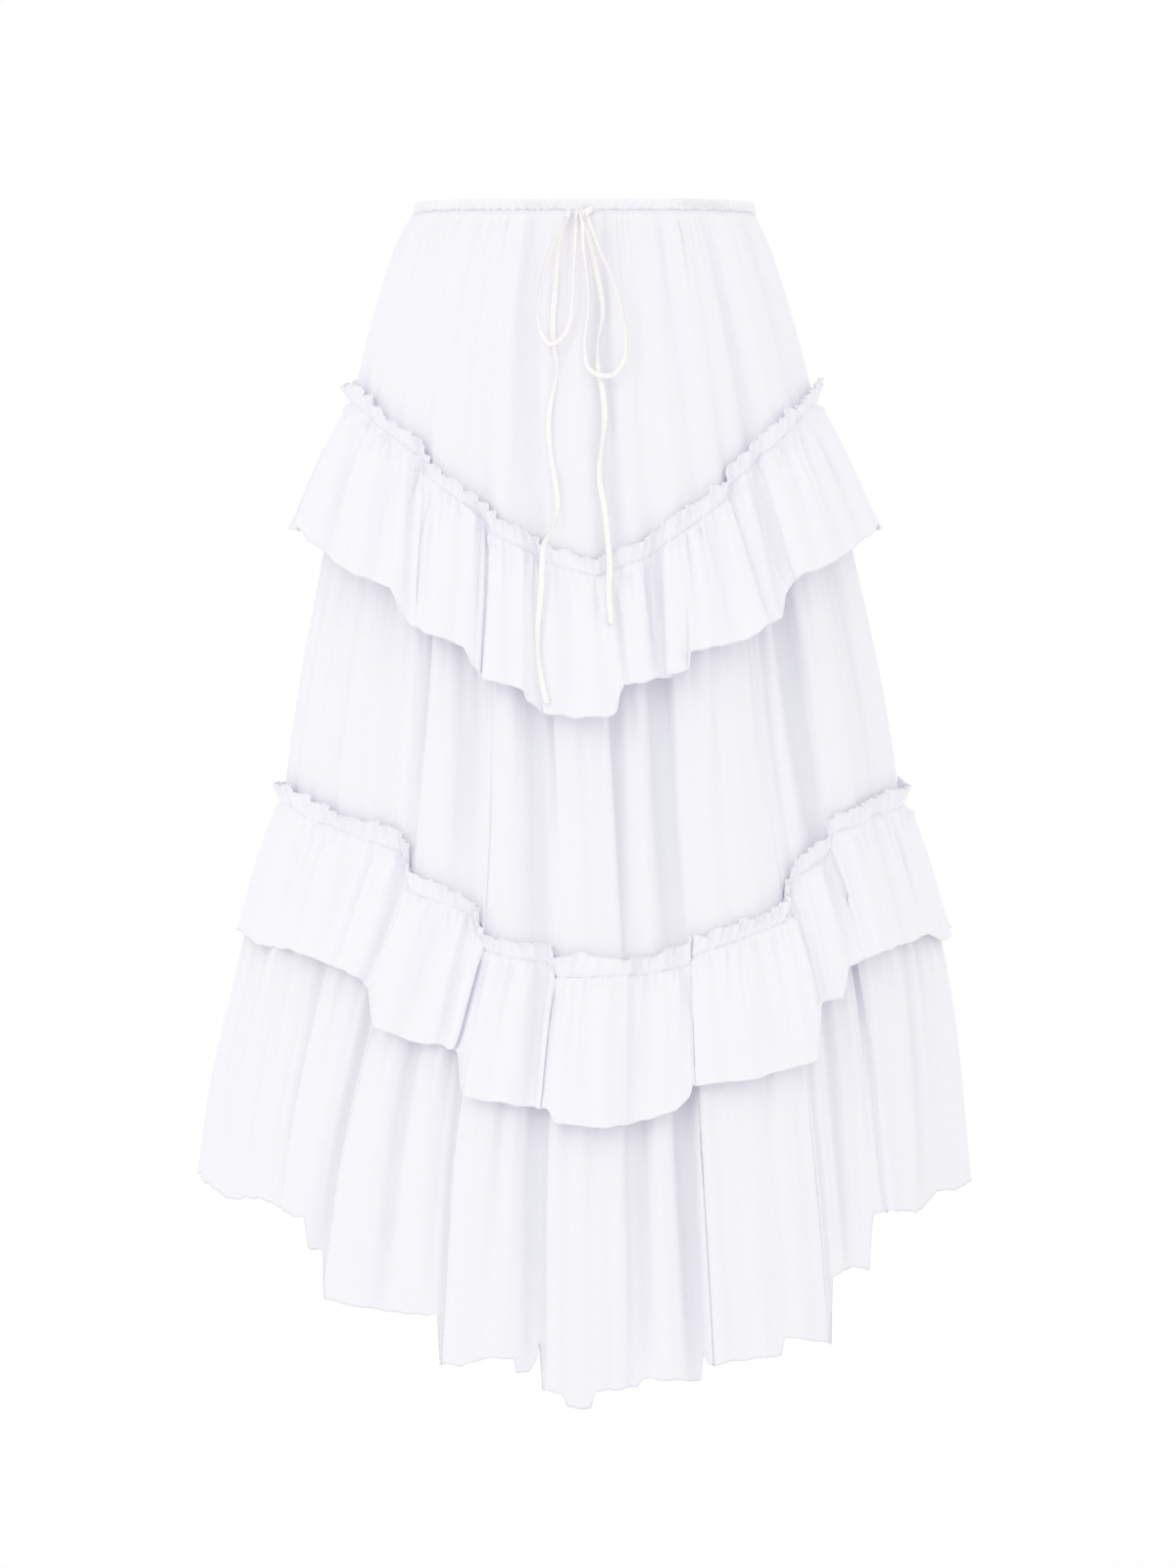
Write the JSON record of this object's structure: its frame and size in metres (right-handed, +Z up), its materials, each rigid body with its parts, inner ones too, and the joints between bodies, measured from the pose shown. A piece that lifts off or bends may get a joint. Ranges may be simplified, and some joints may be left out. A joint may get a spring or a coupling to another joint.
{
  "type": "tiered ruffle skirt",
  "caption": "Long gathered skirt of tiers joined at V seams, with headed ruffles and a narrow tie bowed at its elastic waist.",
  "frame": {"origin": "middle of the waist's top edge, where the wearer holds the skirt up", "axes": "+Z up, from the hem to the waist; the front, with the bow, faces -Y; +X is the viewer's right seen from the front"},
  "size_m": [0.6003, 0.5078, 0.9048],
  "materials": {
    "cotton_voile": "matte, slightly sheer",
    "cotton_tie": "matte"
  },
  "bodies": {
    "root": {"waist_casing": "cotton_voile", "upper_front": "cotton_voile", "upper_back": "cotton_voile", "ruffle_upper_front": "cotton_voile", "ruffle_upper_back": "cotton_voile", "middle_front": "cotton_voile", "middle_back": "cotton_voile", "ruffle_lower_front": "cotton_voile", "ruffle_lower_back": "cotton_voile", "lower_front": "cotton_voile", "lower_back": "cotton_voile", "tie_knot": "cotton_tie", "tie_loop_left": "cotton_tie", "tie_loop_right": "cotton_tie", "tie_tail_left": "cotton_tie", "tie_tail_right": "cotton_tie"}
  },
  "joints": []
}
